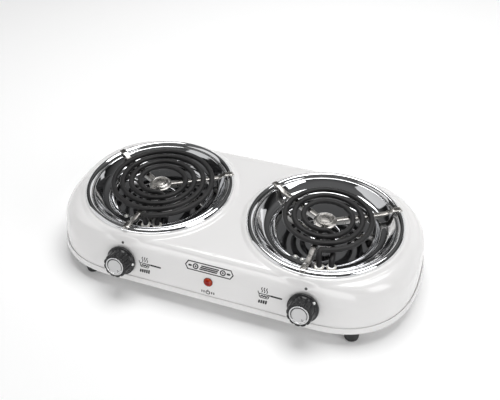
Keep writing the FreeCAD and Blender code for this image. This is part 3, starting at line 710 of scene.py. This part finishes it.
def drip_pan(side):
    """Bright bowl: well, step, flared wall and rolled rim, with the terminal platform at the front."""
    wall = PAN_WALL_R
    line = [(0.0, WELL_Z + 0.9), (18.0, WELL_Z + 0.9), (20.5, WELL_Z + 0.1), (30.0, WELL_Z + 0.05),
            (WELL_R - 6, WELL_Z + 0.05), (WELL_R - 1, WELL_Z + 1.0), (WELL_R + 3.4, WELL_Z + 4.6),
            (STEP_R - 2.4, STEP_Z - 1.2), (STEP_R - 0.4, STEP_Z), (STEP_R + 2.6, STEP_Z + 0.25),
            (STEP_R + 6.4, STEP_Z + 1.3), (wall - 5.6, STEP_Z + 4.6), (wall - 2.4, STEP_Z + 7.9),
            (wall - 0.8, COLLAR_Z - 0.2), (wall + 0.2, COLLAR_Z + 1.0), (wall + 1.3, COLLAR_Z + 1.25),
            (wall + 2.2, COLLAR_Z + 0.8)]
    profile = np.array(curve_through(line, 4))
    steps = 264
    angle = np.arange(steps) * 2 * math.pi / steps
    radius = np.repeat(profile[:, 0:1], steps, axis=1)
    height = np.repeat(profile[:, 1:2], steps, axis=1)
    x, y = radius * np.cos(angle), radius * np.sin(angle)
    bite = polar(PLATFORM_AT_R, PLATFORM_DEG)
    flank = 4.5
    inside = smooth_step((PLATFORM_R - np.hypot(x - bite[0], y - bite[1])) / flank + 0.25)
    height = height + np.maximum(STEP_Z - height, 0.0) * inside
    top = np.stack([x, y, height], axis=2)
    under = top - np.array([0, 0, PAN_T])
    points = np.concatenate([top, under[::-1]]).reshape(-1, 3)
    faces = grid_faces(2 * len(profile), steps, close_columns=True)
    piece("drip_bowl_" + side, points, faces, slot="bright_pan", replaces=["drip_pan_" + side],
          matrix=at_burner(side), crease_deg=60)


def spiral_line(side):
    """Centre line of the spiral: half turns whose centre steps across and whose radius shrinks."""
    centre = np.zeros(2)
    angle = COIL_START_DEG
    radius = COIL_R[side]
    half_turn_steps, extra_steps = 45, 4
    points = []
    for _ in range(COIL_HALF_TURNS[side]):
        for step in range(half_turn_steps):
            points.append(centre + polar(radius, angle + 180.0 * step / half_turn_steps))
        angle += 180.0
        centre = centre + polar(HALF_PITCH, angle)
        radius -= HALF_PITCH
    for step in range(extra_steps + 1):
        points.append(centre + polar(radius, angle + COIL_EXTRA_DEG * step / extra_steps))
    return np.array([(x, y, TUBE_Z) for x, y in points])


def unit(vector):
    return vector / np.linalg.norm(vector)


def element(side):
    """The sheathed spiral with a flattened top, both cold ends bent down at the front."""
    spiral = spiral_line(side)
    end_deg = COIL_START_DEG + COIL_EXTRA_DEG
    start, end = spiral[0], spiral[-1]
    before, ahead = unit(spiral[0] - spiral[1]), unit(spiral[-1] - spiral[-2])

    drop = polar(LEAD_R, COIL_START_DEG)
    outward = np.array([*polar(1.0, COIL_START_DEG), 0.0])
    bend = start + before * 1.2 + outward * max(0.0, LEAD_R - COIL_R[side]) * 0.5 - np.array([0, 0, 3.4])
    first = curve_through([(*drop, LEAD_LOW_Z), (*drop, LEAD_Z - 3.0), bend, start], 8)

    drop = polar(LEAD_R, end_deg)
    outward = np.array([*unit(drop), 0.0])
    low = np.array([0, 0, LEAD_Z - TUBE_Z])
    knee = end + ahead * 5.2 + outward * 2.2 + low * 0.55
    run = end + ahead * 5.8 + outward * 10.0 + low
    last_flat = np.array([*polar(LEAD_R - 9.0, end_deg + 2.0), LEAD_Z])
    turn_down = (*polar(LEAD_R - 1.4, end_deg), LEAD_Z - 2.6)
    foot = (*drop, LEAD_LOW_Z)
    last = curve_through([end, knee, run, (run + last_flat) / 2, last_flat, turn_down, foot], 8)

    line = np.concatenate([first[:-1], spiral, last[1:]])
    flat = np.concatenate([np.zeros(len(first) - 1), np.ones(len(spiral)), np.zeros(len(last) - 1)])
    blend = 9
    flat = np.pad(flat, blend // 2, mode="edge")
    flat = np.convolve(flat, np.ones(blend) / blend, mode="valid")
    tube_piece("element_" + side, line, flat, side)


def tube_piece(name, line, flat, side):
    """A tube along a line; where flat is 1 its top is levelled to the cooking plane."""
    sides = 24
    ahead = np.gradient(line, axis=0)
    ahead /= np.linalg.norm(ahead, axis=1)[:, None]
    up = np.zeros_like(line)
    first_up = np.array([*polar(1.0, COIL_START_DEG), 0.0])
    up[0] = unit(first_up - ahead[0] * np.dot(first_up, ahead[0]))
    for index in range(1, len(line)):
        up[index] = unit(up[index - 1] - ahead[index] * np.dot(up[index - 1], ahead[index]))
    middle = len(line) // 2
    skyward = np.array([0, 0, 1])
    twist = math.atan2(np.dot(np.cross(up[middle], skyward), ahead[middle]), np.dot(up[middle], skyward))
    across = np.arange(sides) * 2 * math.pi / sides + math.pi / sides
    radius = TUBE_R - 0.2 * (1 - flat)
    rows = []
    for index in range(len(line)):
        top = up[index] * math.cos(twist) + np.cross(ahead[index], up[index]) * math.sin(twist)
        beside = np.cross(ahead[index], top)
        limit = (COOK_Z - TUBE_Z) * flat[index] + TUBE_R * (1 - flat[index])
        level = np.minimum(np.cos(across) * radius[index], limit)
        ring = line[index] + level[:, None] * top + (np.sin(across) * radius[index])[:, None] * beside
        ring[:, 2] = np.minimum(ring[:, 2], COOK_Z)
        rows.append(ring)
    points = np.array(rows).reshape(-1, 3)
    faces = grid_faces(len(rows), sides, close_columns=True) + end_caps(len(rows), sides)
    piece(name, points, faces, slot="element", replaces=["coil_" + side, "coil_leads_" + side],
          matrix=at_burner(side), crease_deg=60)


def end_caps(rows, columns):
    """The faces that close the first and the last row of a grid of closed rows."""
    last = (rows - 1) * columns
    return [list(range(columns)), list(range(last, last + columns))[::-1]]


def support_arm(name, degrees, side):
    """One pressed channel arm: carries the spiral and hooks over the ring; its edges and tip get the support
    material's painted highlight.
    """
    path = rounded([(9.0, ARM_TOP_Z), (80.0, ARM_TOP_Z, 9.0), (88.5, HOOK_Z, 6.0), (98.6, HOOK_Z, 3.0),
                    (101.5, RING_TOP_Z - 1.0)], steps=7)
    path = spaced(path, 40, 12.0)
    heading = np.gradient(path, axis=0)
    heading /= np.linalg.norm(heading, axis=1)[:, None]
    normal = np.stack([-heading[:, 1], heading[:, 0]], axis=1)
    travel = path[:, 0]
    towards_hub = 1 - smooth_step((travel - 9.0) / 10.0)
    under_spiral = 1 - smooth_step((travel - 62.0) / 22.0)
    depth = 1.5 + 6.0 * under_spiral - 1.5 * towards_hub
    half = 3.5 + 0.5 * smooth_step((travel - 84.0) / 6.0) - 1.2 * smooth_step((travel - 97.0) / 5.0)
    rows = []
    for point, out, down, width in zip(path, normal, depth, half):
        inner = width - ARM_STEEL
        section = rounded([(-width, -down), (-width, 0.0, 1.1), (width, 0.0, 1.1), (width, -down),
                           (inner, -down), (inner, -ARM_STEEL, 0.4), (-inner, -ARM_STEEL, 0.4),
                           (-inner, -down)], steps=3, closed=True)
        rows.append([(point[0] + out[0] * v, u, point[1] + out[1] * v) for u, v in section])
    columns = len(rows[0])
    points = np.array(rows).reshape(-1, 3)
    faces = grid_faces(len(rows), columns, close_columns=True) + end_caps(len(rows), columns)
    turned = at_burner(side) @ Matrix.Rotation(math.radians(degrees), 4, "Z")
    piece(name, points, faces, slot="support", matrix=turned, crease_deg=45)


def coil_support(side):
    """The pressed medallion in the middle, and its three arms."""
    top = ARM_TOP_Z
    profile = rounded([(0, top - 1.3), (15.0, top - 1.3, 0.4), (15.0, top + 0.1, 0.5), (13.4, top + 0.3, 0.6),
                       (13.0, top + 2.6, 1.2), (10.8, top + 3.9, 0.8), (9.6, top + 3.9, 0.4),
                       (9.2, top + 3.4, 0.4), (7.4, top + 3.4, 0.6), (6.6, top + 4.1, 0.6),
                       (0, top + 4.5)], steps=4)
    lathe("support_medallion_" + side, profile, 96, slot="support", replaces=["coil_support_" + side],
          matrix=at_burner(side))
    for number, degrees in enumerate(LEG_DEG):
        support_arm("support_arm_%s_%d" % (side, number + 1), degrees, side)


def insulators(side):
    """Ceramic bushes with a small metal eyelet where the cold ends pass through the pan."""
    bush = ring_profile([(3.4, STEP_Z - 18), (5.0, STEP_Z - 18, 0.3), (5.0, STEP_Z - 4.2),
                         (5.9, STEP_Z - 4.0, 0.3), (5.9, STEP_Z + 1.1, 0.6), (3.4, STEP_Z + 1.1)])
    eyelet = ring_profile([(3.35, STEP_Z + 0.9), (5.2, STEP_Z + 0.9, 0.2), (5.0, STEP_Z + 1.7, 0.4),
                           (3.35, STEP_Z + 1.9)])
    for number, degrees in enumerate((COIL_START_DEG, COIL_START_DEG + COIL_EXTRA_DEG)):
        x, y = polar(LEAD_R, degrees)
        place = at_place(CENTRES[side] + x, y)
        replaced = ["insulators_" + side] if number == 0 else []
        suffix = "_%s_%d" % (side, number + 1)
        lathe("insulator" + suffix, bush, 40, slot="ceramic", replaces=replaced, matrix=place)
        lathe("eyelet" + suffix, eyelet, 40, slot="zinc", matrix=place)


# ---------------------------------------------------------------- knobs, lamp, gland

def knob(side):
    """Fluted grip over a wide skirt, satin rim and cap face, and the marks on them, among them a painted dark
    reflection in the cap's groove.
    """
    low = KNOB_GAP
    top = KNOB_H
    profile = rounded([(13.0, low + 1.6), (13.0, low, 0.3), (KNOB_R, low, 0.6), (KNOB_R, low + 3.2, 0.9),
                       (GRIP_R + 1.1, low + 4.2, 1.2), (GRIP_R + 0.1, low + 6.4, 2.0),
                       (GRIP_R - 0.7, top - 0.1, 1.2), (CAP_R + 0.5, top, 0.3), (CAP_R + 0.1, top - 0.6, 0.2),
                       (CAP_R + 0.1, CAP_SEAT), (0, CAP_SEAT)], steps=5)
    profile = refine(np.concatenate([[(0, low + 1.6)], profile]), 1.6)

    def fluted(radius, height, angle):
        notch = (1 - np.abs(np.sin(FLUTES * (angle - math.radians(POINTER_DEG[side])) / 2))) ** 1.7
        along = smooth_step((height - low - 4.4) / 2.4)
        across = smooth_step((radius - CAP_R - 0.7) / 1.6)
        return radius - FLUTE_DEPTH * notch * along * across

    facts = {"body": "knob_" + side, "matrix": on_knob(side)}
    lathe("knob_grip_" + side, profile, FLUTES * 18, fluted, slot="knob_plastic", replaces=["knob_" + side],
          **facts)
    rim = ring_profile([(DISC_R, CAP_SEAT), (CAP_R, CAP_SEAT), (CAP_R, CAP_FACE + 0.3, 0.35),
                        (CAP_R - 1.5, CAP_FACE + 0.3, 0.3), (CAP_R - 1.75, CAP_FACE - 0.2, 0.15),
                        (DISC_R, CAP_FACE - 0.2)], steps=4)
    lathe("knob_rim_" + side, rim, 128, slot="knob_metal", replaces=["knob_cap_" + side], **facts)
    disc = rounded([(0, CAP_SEAT), (DISC_R, CAP_SEAT), (DISC_R, CAP_FACE, 0.25), (0, CAP_FACE - 0.05)],
                   steps=4)
    lathe("knob_face_" + side, refine(disc, 1.5), 128, slot="knob_metal", material=MATERIALS["knob_face"],
          **facts)
    knob_print_and_painted_reflection(side, facts)


def knob_print_and_painted_reflection(side, facts):
    """The pointer's dome on the skirt, and the cap's tapering arc, a painted dark reflection in the cap's
    groove, with its printed dot.
    """
    x, y = polar(KNOB_R - 1.95, POINTER_DEG[side])
    top = KNOB_GAP + 4.9
    dome = rounded([(0, top + 0.2), (1.2, top + 0.1, 0.6), (1.75, top - 0.4, 0.3), (1.75, top - 2.0),
                    (0, top - 2.0)], steps=3)
    lathe("knob_pointer_" + side, dome, 32, body=facts["body"], slot="knob_plastic",
          material=MATERIALS["print_white"], matrix=facts["matrix"] @ Matrix.Translation((x * MM, y * MM, 0)))
    marks = Drawing(CAP_FACE - 0.17)
    # The tapering black arc is a painted dark reflection lying in the cap's groove, not print.
    arc = [polar(CAP_R - 2.42, degrees) for degrees in np.linspace(226, -24, 60)]
    widths = [0.3 + 1.15 * math.sin(math.pi * share) ** 0.5 for share in np.linspace(0.04, 0.96, 60)]
    marks.stroke(arc, widths)
    marks.lift = CAP_FACE + 0.03
    marks.disc(polar(6.6, -50), 0.75)
    marks.stroke([polar(8.3, degrees) for degrees in np.linspace(-38, -62, 8)], 0.5)
    piece("knob_print_and_painted_reflection_" + side, marks.points, marks.faces, slot="knob_plastic",
          material=MATERIALS["print_black"], weld=False, **facts)


def refine(profile, longest):
    """Adds points on the long runs of a profile."""
    made = [profile[0]]
    for here in profile[1:]:
        parts = max(1, int(math.ceil(np.linalg.norm(here - made[-1]) / longest)))
        start = np.array(made[-1])
        for part in range(1, parts + 1):
            made.append(start + (here - start) * part / parts)
    return np.array(made)


class Drawing:
    """Flat printed marks: strokes and discs, lift above a surface."""

    def __init__(self, lift=0.04):
        self.lift = lift
        self.points = []
        self.faces = []

    def add(self, outline):
        start = len(self.points)
        self.points += [(x, y, self.lift) for x, y in outline]
        self.faces.append(list(range(start, len(self.points))))

    def disc(self, centre, radius, steps=20):
        self.add([np.array(centre) + polar(radius, 360.0 * step / steps) for step in range(steps)])

    def stroke(self, line, width):
        line = np.array(line, float)
        widths = np.full(len(line), width, float) if np.isscalar(width) else np.array(width, float)
        ahead = np.gradient(line, axis=0)
        ahead /= np.linalg.norm(ahead, axis=1)[:, None]
        across = np.stack([-ahead[:, 1], ahead[:, 0]], axis=1) * widths[:, None] / 2
        start = len(self.points)
        for left, right in zip(line + across, line - across):
            self.points += [(*left, self.lift), (*right, self.lift)]
        for step in range(len(line) - 1):
            a = start + 2 * step
            self.faces.append([a, a + 1, a + 3, a + 2])
        for end, size in ((line[0], widths[0]), (line[-1], widths[-1])):
            self.disc(end, size / 2, 12)

    def print_on_panel(self, name, x, z):
        """Presses the drawing onto the bulging panel about x, z."""
        outward = Vector((0, -math.cos(lean(z)), math.sin(lean(z))))
        placed = []
        for across, up, _ in self.points:
            height = z + up * math.cos(lean(z))
            near = SHELL_TREE.find_nearest(world([(x + across, -wall_y(height), height)])[0])[0]
            placed.append(near / MM + outward * self.lift)
        piece(name, placed, self.faces, slot="white_enamel", material=MATERIALS["print_black"],
              matrix=Matrix(), weld=False)


def pan_mark(drawing, bars):
    """A pan with steam over it, its handle to the right, the element under it and bars for its power."""
    drawing.stroke([(-14.6, 2.6), (-14.0, 0.4), (-12.8, 0.1), (-1.5, 0.0)], 1.15)
    drawing.stroke([(-1.5, 0.0), (2.0, -0.1)], 1.4)
    drawing.stroke([(2.0, -0.1), (15.0, -0.3)], 2.3)
    drawing.stroke([(-13.2, 0.0), (-12.4, -4.2), (-11.4, -5.2), (-2.2, -5.2), (-1.1, -4.2), (-0.2, 0.0)],
                   1.1)
    drawing.stroke([(x, -2.7 + 0.75 * math.sin(x * 1.9)) for x in np.linspace(-11.0, -2.2, 40)], 1.6)
    for column in range(3):
        base = -9.9 + 3.2 * column
        shares = np.linspace(0, 1, 12)
        drawing.stroke([(base + 0.7 * math.sin(2 * math.pi * up), 2.4 + 6.0 * up) for up in shares], 1.15)
    for bar in range(bars):
        at = -12.6 + 2.9 * bar
        drawing.stroke([(at, -12.8), (at + 0.6, -10.0 + 0.3 * bar)], 2.35)


def panel_marks():
    """Everything printed on the panel."""
    for side in SIDES:
        x, z, bars = PAN_MARKS[side]
        drawing = Drawing()
        pan_mark(drawing, bars)
        drawing.print_on_panel("mark_pan_" + side, x, z)
    emblem().print_on_panel("mark_emblem", LAMP_X, EMBLEM_Z)
    power = Drawing()
    power.stroke([polar(2.5, degrees) for degrees in np.linspace(125, 415, 30)], 1.3)
    power.stroke([(0, 0.9), (0, 3.6)], 1.3)
    for bar in (-5.2, -8.0, 5.2, 8.0):
        power.stroke([(bar, -1.0), (bar, 1.4)], 1.5)
    power.print_on_panel("mark_power", LAMP_X, POWER_Z)
    for side in SIDES:
        dot = Drawing()
        dot.disc((0, 0), 1.75, 28)
        dot.print_on_panel("mark_index_" + side, JOINTS["knob_" + side]["pos_m"][0] / MM, INDEX_Z)


def emblem():
    """A six-sided outline round slanting bars between two small rings."""
    drawing = Drawing()
    outline = np.array([(-31.4, 0), (-28.0, 5.5), (28.0, 5.5), (31.4, 0), (28.0, -5.5), (-28.0, -5.5),
                        (-31.4, 0)])
    for start, end in zip(outline[:-1], outline[1:]):
        drawing.stroke([start + (end - start) * share for share in np.linspace(0, 1, 8)], 1.45)
    for centre in (-18.0, 18.0):
        drawing.stroke([polar(3.1, degrees) + (centre, 0) for degrees in np.linspace(0, 360, 33)], 1.6)
        drawing.disc((centre, 0), 1.3)
    for row in (-2.3, 0.0, 2.3):
        drawing.stroke([(along + 0.5 * row, row) for along in np.linspace(-11.0, 11.0, 6)], 1.75)
    for side in (-1, 1):
        drawing.stroke([(side * 24.2, 0), (side * 26.6, 0)], 2.6)
    return drawing


def lamp():
    """Red lens cut in facets like a jewel, in a thin bezel."""
    matrix = on_panel(LAMP_X, LAMP_Z)
    body = ring_profile([(2.9, -8.9), (4.2, -8.9), (4.2, 0.02), (5.45, 0.02, 0.2), (5.45, 0.7), (2.9, 0.7)])
    lathe("lamp_body", body, 72, slot="lamp_red", replaces=["lamp_lens"], matrix=matrix)
    gem = bmesh.new()
    for radius, height, count, shift in ((5.4, 0.7, 12, 0.0), (4.9, 1.9, 12, 15.0), (2.9, 3.2, 6, 0.0),
                                         (1.1, 3.72, 6, 30.0)):
        for step in range(count):
            gem.verts.new((*polar(radius, shift + 360.0 * step / count), height))
    bmesh.ops.convex_hull(gem, input=gem.verts)
    gem.verts.index_update()
    points = [tuple(vert.co) for vert in gem.verts]
    faces = [[vert.index for vert in face.verts] for face in gem.faces]
    gem.free()
    # The facet edges get the lamp material's painted orange highlight.
    piece("lamp_facets", points, faces, slot="lamp_red", matrix=matrix, crease_deg=4)
    bezel = ring_profile([(5.35, 0.02), (6.1, 0.02, 0.2), (5.95, 0.75, 0.3), (5.35, 0.8)])
    lathe("lamp_bezel", bezel, 72, slot="lamp_red", material=MATERIALS["lamp_rim"], matrix=matrix)


def gland():
    """The moulded bush that a mains lead would pass through."""
    profile = ring_profile([(3.75, -9), (6.2, -9, 0.4), (6.2, 0.0), (9.0, 0.0, 0.3), (9.0, 1.6, 0.9),
                            (7.4, 2.8, 0.9), (5.2, 2.8, 0.6), (4.6, 2.2, 0.4), (3.75, 1.6, 0.4)], steps=4)
    lathe("cord_gland_moulded", profile, 72, slot="black_nylon", replaces=["cord_gland"],
          matrix=on_back(GLAND_X, GLAND_Z))


# ---------------------------------------------------------------- build

SHELL_TREE = housing()
base_rim()
base_floor()
feet()
for side in SIDES:
    trim_ring(side)
    drip_pan(side)
    element(side)
    coil_support(side)
    insulators(side)
    knob(side)
panel_marks()
lamp()
gland()

slots = {part["node"]: part["material_slot"] for part in frame["record"]["subparts"]}
for name, node in frame["nodes"].items():
    node.data.materials.clear()
    node.data.materials.append(MATERIALS[slots[name]])


# ---------------------------------------------------------------- stage, light and camera

def stage():
    """A wide pale floor that glows a little more where the lights no longer reach it."""
    mesh = bpy.data.meshes.new("floor")
    size = 60.0
    corners = [(-size, -size, 0), (size, -size, 0), (size, size, 0), (-size, size, 0)]
    mesh.from_pydata(corners, [], [[0, 1, 2, 3]])
    floor = linked("floor", mesh)
    paper = surface("floor_paper", (0.93, 0.93, 0.93), 0.75, tint=0.004, spread=0.03, scale=2.0,
                    Emission_Color=(1, 1, 1, 1))
    nodes, links = paper.node_tree.nodes, paper.node_tree.links
    away = nodes.new("ShaderNodeVectorMath")
    away.operation = "LENGTH"
    links.new(nodes.new("ShaderNodeTexCoord").outputs["Object"], away.inputs[0])
    glow = map_range(nodes, links, away.outputs["Value"], 0.9, 2.8, 0.055, 0.52)
    glow.interpolation_type = "SMOOTHSTEP"
    links.new(glow.outputs["Result"], nodes["Principled BSDF"].inputs["Emission Strength"])
    mesh.materials.append(paper)


def softbox(name, place, target, width, height, power):
    """A rectangular light at a place, aimed at a target, in metres and watts."""
    light = bpy.data.lights.new(name, "AREA")
    light.shape = "RECTANGLE"
    light.size = width
    light.size_y = height
    light.energy = power
    holder = linked(name, light)
    holder.location = place
    holder.rotation_euler = (Vector(target) - Vector(place)).to_track_quat("-Z", "Y").to_euler()


def sky():
    """Pale studio walls, and over them a dark band for the bright metal to reflect and a soft grey dome."""
    made = bpy.data.worlds.new("studio")
    made.use_nodes = True
    nodes, links = made.node_tree.nodes, made.node_tree.links
    split = nodes.new("ShaderNodeSeparateXYZ")
    links.new(nodes.new("ShaderNodeTexCoord").outputs["Generated"], split.inputs[0])
    ramp = nodes.new("ShaderNodeValToRGB")
    stops = ((0.0, 0.52), (0.22, 0.45), (0.28, 0.012), (0.42, 0.012), (0.75, 0.13))
    while len(ramp.color_ramp.elements) < len(stops):
        ramp.color_ramp.elements.new(0.5)
    for element_stop, (height, level) in zip(ramp.color_ramp.elements, stops):
        element_stop.position = height
        element_stop.color = (level, level, level, 1)
    links.new(split.outputs[2], ramp.inputs[0])
    links.new(ramp.outputs[0], nodes["Background"].inputs["Color"])
    nodes["Background"].inputs["Strength"].default_value = 1.0
    bpy.context.scene.world = made


def camera():
    """Looks along the azimuth and elevation, rolled, from a place off the point between the trim rings."""
    azimuth, elevation, roll = math.radians(AZIMUTH), math.radians(ELEVATION), math.radians(ROLL)
    back = Vector((math.sin(azimuth) * math.cos(elevation), -math.cos(azimuth) * math.cos(elevation),
                   math.sin(elevation)))
    level = Vector((math.cos(azimuth), math.sin(azimuth), 0))
    upright = back.cross(level)
    right = level * math.cos(roll) + upright * math.sin(roll)
    up = upright * math.cos(roll) - level * math.sin(roll)
    data = bpy.data.cameras.new("camera")
    data.sensor_width = SENSOR
    data.lens = LENS
    holder = linked("camera", data)
    middle = Vector(world([(0, 0, COLLAR_Z)])[0])
    matrix = Matrix((right, up, back)).transposed().to_4x4()
    matrix.translation = middle + Vector(CAMERA_AWAY)
    holder.matrix_world = matrix
    bpy.context.scene.camera = holder


stage()
sky()
camera()
softbox("overhead", (0.05, 0.45, 1.65), (0, 0, 0.05), 1.5, 1.1, 26.8)
softbox("front_strip", (0.0, -2.0, 0.30), (0, 0, 0.05), 2.6, 0.4, 11.2)
softbox("rear_strip", (0.2, 1.6, 0.6), (0, 0, 0.05), 2.4, 0.5, 2.8)
softbox("right_side", (1.5, -0.5, 0.9), (0.05, 0, 0.06), 0.8, 0.8, 8.0)
softbox("left_side", (-1.6, -0.7, 1.0), (-0.05, 0, 0.05), 1.8, 1.5, 6.2)
bpy.context.scene.view_settings.view_transform = "Standard"
